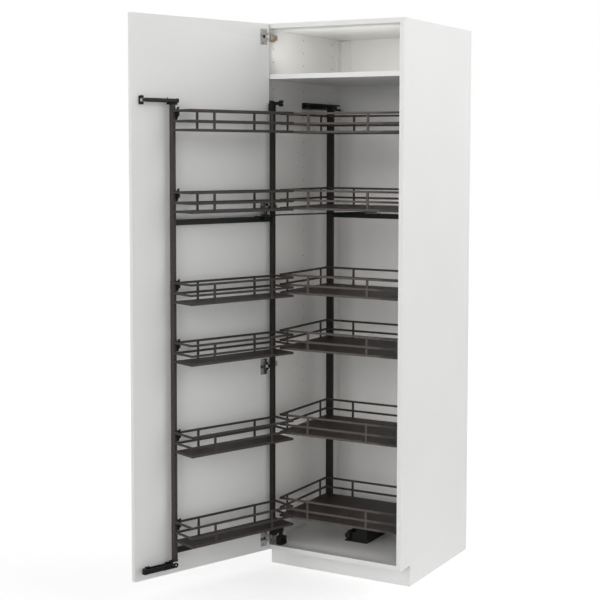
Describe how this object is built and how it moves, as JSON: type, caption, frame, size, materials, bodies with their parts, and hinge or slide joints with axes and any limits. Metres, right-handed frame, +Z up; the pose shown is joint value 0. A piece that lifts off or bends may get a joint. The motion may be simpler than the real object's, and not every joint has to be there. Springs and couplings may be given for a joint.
{
  "type": "pull out larder unit",
  "caption": "Tall kitchen larder cabinet whose full-height door turns out a slim tray rack and draws a deeper tray rack forward behind it.",
  "frame": {"origin": "on the floor, in the middle of the carcass's width and depth, at the foot of the plinth's centre bearer", "axes": "+X to the right seen from the front, +Y from the front to the back, +Z up"},
  "size_m": [0.7849, 1.1657, 2.08],
  "materials": {
    "white_board": "white foil, satin",
    "dark_frame": "dark brown grey powder coat, satin",
    "dark_board": "dark brown foil, satin",
    "black_metal": "black coat, satin",
    "black_plastic": "black, matt",
    "bright_steel": "nickel plated",
    "plain_steel": "zinc plated"
  },
  "bodies": {
    "carcass": {"left_panel": "white_board", "right_panel": "white_board", "top_panel": "white_board", "floor_panel": "white_board", "fixed_shelf": "white_board", "back_panel": "white_board", "plinth_front": "white_board", "plinth_sides": "white_board", "plinth_back": "white_board", "plinth_bearer": "white_board", "wall_brackets": "plain_steel", "hinge_arms": "bright_steel", "hinge_arm_pins": "plain_steel", "pivot_top_bracket": "black_plastic", "pivot_floor_block": "black_plastic", "pivot_pins": "plain_steel", "upper_runner": "black_metal", "lower_runner": "black_metal", "runner_damper": "black_plastic"},
    "hinge_links": {"hinge_links": "bright_steel"},
    "door": {"door_panel": "white_board", "hinge_cups": "bright_steel", "hinge_cup_pins": "plain_steel", "door_top_guide": "black_metal", "door_top_bracket": "black_metal", "door_low_guide": "black_metal", "door_low_cap": "black_plastic"},
    "door_rack": {"rack_front_post": "dark_frame", "rack_rear_post": "dark_frame", "rack_cross_bars": "dark_frame", "rack_levers": "black_metal", "rack_top_shoe": "black_plastic", "rack_low_roller": "black_plastic", "rack_link_lug": "black_metal", "tray_hooks": "black_plastic", "door_tray_1": "dark_frame", "door_tray_2": "dark_frame", "door_tray_3": "dark_frame", "door_tray_4": "dark_frame", "door_tray_5": "dark_frame", "door_tray_6": "dark_frame", "door_tray_bases": "dark_board"},
    "inner_rack": {"inner_left_post": "dark_frame", "inner_right_post": "dark_frame", "inner_cross_bars": "dark_frame", "inner_tray_1": "dark_frame", "inner_tray_2": "dark_frame", "inner_tray_3": "dark_frame", "inner_tray_4": "dark_frame", "inner_tray_5": "dark_frame", "inner_tray_6": "dark_frame", "inner_tray_bases": "dark_board", "upper_carriage": "black_plastic", "lower_carriage": "black_plastic", "pull_link_pin": "plain_steel"},
    "pull_link": {"pull_link": "black_metal"}
  },
  "joints": [
    {"name": "door_rack_swing", "type": "hinge", "parent": "carcass", "child": "door_rack", "pos_m": [-0.22595, -0.27551, 0.95], "axis": [0, 0, 1], "range_deg": [0, 110.5]},
    {"name": "hinge_link_turn", "type": "hinge", "parent": "carcass", "child": "hinge_links", "pos_m": [-0.26832, -0.29472, 1.085], "axis": [0, 0, 1], "range_deg": [-60.79, 0.1]},
    {"name": "door_turn", "type": "hinge", "parent": "hinge_links", "child": "door", "pos_m": [-0.26695, -0.31634, 1.085], "axis": [0, 0, 1], "range_deg": [-0.1, 171.29]},
    {"name": "inner_rack_slide", "type": "slide", "parent": "carcass", "child": "inner_rack", "axis": [0, 1, 0], "range_m": [-0.0002, 0.1552]},
    {"name": "pull_link_turn", "type": "hinge", "parent": "inner_rack", "child": "pull_link", "pos_m": [-0.02, 0.1, 1.366], "axis": [0, 0, 1], "range_deg": [-0.1, 12.71]}
  ],
  "couplings": [
    {"joint": "hinge_link_turn", "follows": "door_rack_swing", "ratio": -0.54919},
    {"joint": "door_turn", "follows": "door_rack_swing", "ratio": 1.5492},
    {"joint": "inner_rack_slide", "follows": "door_rack_swing", "m_per_rad": 0.08037},
    {"joint": "pull_link_turn", "follows": "door_rack_swing", "ratio": 0.11409}
  ]
}
